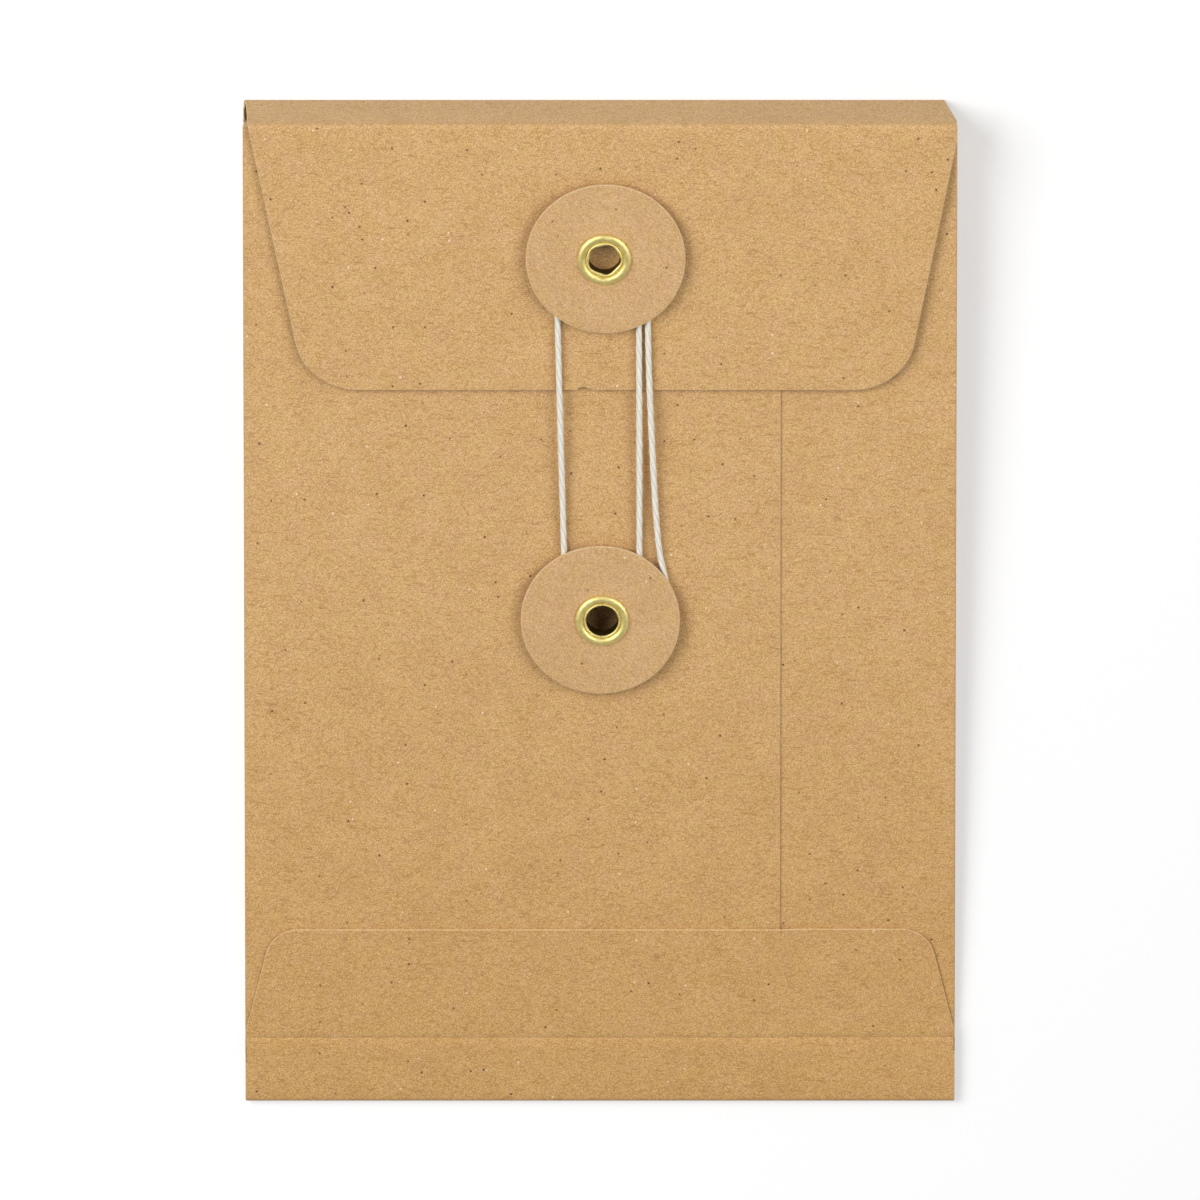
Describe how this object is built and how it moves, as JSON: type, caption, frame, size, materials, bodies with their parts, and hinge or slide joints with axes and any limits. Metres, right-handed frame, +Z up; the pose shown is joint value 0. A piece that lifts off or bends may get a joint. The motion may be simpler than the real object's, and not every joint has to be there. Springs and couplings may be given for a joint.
{
  "type": "string tie envelope",
  "caption": "Kraft paper gusset envelope with a folding top flap, held shut by a cotton string wound round paper discs on brass eyelets.",
  "frame": {"origin": "middle of the back panel's outer face, on which the envelope lies", "axes": "+X to the right across the front, +Y towards the closing flap, +Z up out of the front"},
  "size_m": [0.114, 0.17, 0.0117],
  "materials": {
    "kraft_paper": "matte brown kraft",
    "paperboard": "matte brown board",
    "brass": "bright rolled brass",
    "cotton_string": "twisted undyed cotton",
    "glue": "dried paper glue"
  },
  "bodies": {
    "pocket": {"back_panel": "kraft_paper", "base_panel": "kraft_paper", "bottom_flap": "kraft_paper", "left_front_panel": "kraft_paper", "right_front_panel": "kraft_paper", "seam_glue": "glue", "bottom_glue": "glue", "left_gusset": "kraft_paper", "right_gusset": "kraft_paper", "lower_eyelet": "brass"},
    "spine": {"top_spine": "kraft_paper"},
    "flap": {"closing_flap": "kraft_paper", "upper_eyelet": "brass", "tie_string": "cotton_string", "string_knot": "cotton_string"},
    "upper_disc": {"upper_washer": "paperboard"},
    "lower_disc": {"lower_washer": "paperboard"}
  },
  "joints": [
    {"name": "spine_fold", "type": "hinge", "parent": "pocket", "child": "spine", "pos_m": [0, 0.08485, 0.00015], "axis": [-1, 0, 0], "range_deg": [0, 85], "deforming": ["tie_string"]},
    {"name": "flap_fold", "type": "hinge", "parent": "spine", "child": "flap", "pos_m": [0, 0.08395, 0.01011], "axis": [-1, 0, 0], "range_deg": [0, 85], "deforming": ["tie_string"]},
    {"name": "upper_disc_spin", "type": "hinge", "parent": "flap", "child": "upper_disc", "pos_m": [0.0007, 0.06177, 0.00922], "axis": [0, -0.0469, 0.9989], "continuous": true},
    {"name": "lower_disc_spin", "type": "hinge", "parent": "pocket", "child": "lower_disc", "pos_m": [0.00035, -0.00081, 0.00523], "axis": [0, -0.0469, 0.9989], "continuous": true}
  ],
  "couplings": [
    {"joint": "spine_fold", "follows": "flap_fold", "ratio": 1}
  ]
}
